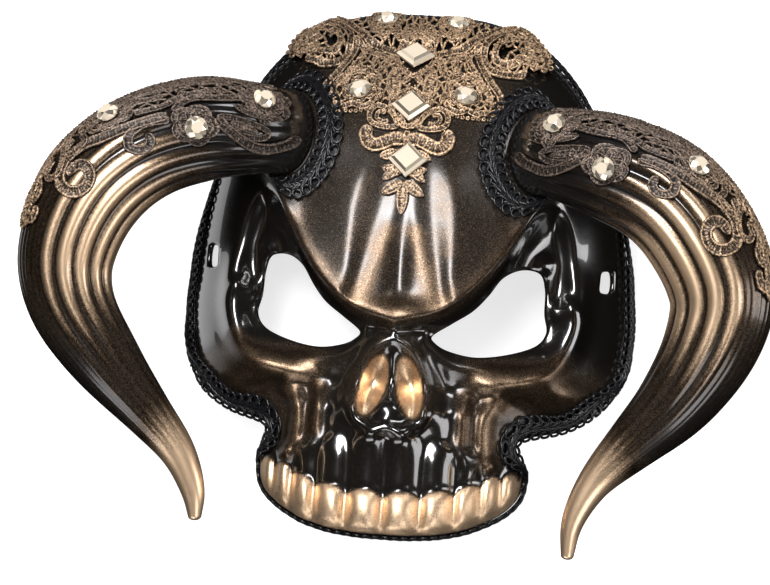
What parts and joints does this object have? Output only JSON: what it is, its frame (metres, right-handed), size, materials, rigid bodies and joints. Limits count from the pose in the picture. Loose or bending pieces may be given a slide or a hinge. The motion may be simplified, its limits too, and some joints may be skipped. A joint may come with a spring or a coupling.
{
  "type": "horned skull masquerade mask",
  "caption": "Hollow half mask of a horned skull down to the upper teeth, with curved fluted horns, braid edging, lace and faceted stones, for wearing or hanging.",
  "frame": {"origin": "under the middle of the part's box, on the plane that the rear rim rests on", "axes": "+X across the face to the viewer's right, +Y towards the crown, +Z out of the face, so the mask lies face up"},
  "size_m": [0.2936, 0.2106, 0.1009],
  "materials": {
    "gloss_shell": "gloss black plastic with gold pearl shading and gold teeth",
    "gloss_horn": "black plastic fading to satin gold on the tips and ridges",
    "black_braid": "black scroll braid",
    "bronze_lace": "bronze guipure lace with gold highlights",
    "dark_lace": "dark lace with bronze highlights",
    "gold_stone": "faceted pale gold foiled stone"
  },
  "bodies": {
    "root": {"mask_shell": "gloss_shell", "horn_left": "gloss_horn", "horn_right": "gloss_horn", "edge_braid": "black_braid", "horn_collar_left": "black_braid", "horn_collar_right": "black_braid", "crown_lace": "bronze_lace", "horn_lace_left": "dark_lace", "horn_lace_right": "dark_lace", "crown_stone_1": "gold_stone", "crown_stone_2": "gold_stone", "crown_stone_3": "gold_stone", "crown_stone_4": "gold_stone", "square_stone_1": "gold_stone", "square_stone_2": "gold_stone", "square_stone_3": "gold_stone", "horn_stone_left_1": "gold_stone", "horn_stone_left_2": "gold_stone", "horn_stone_left_3": "gold_stone", "horn_stone_right_1": "gold_stone", "horn_stone_right_2": "gold_stone", "horn_stone_right_3": "gold_stone"}
  },
  "joints": []
}
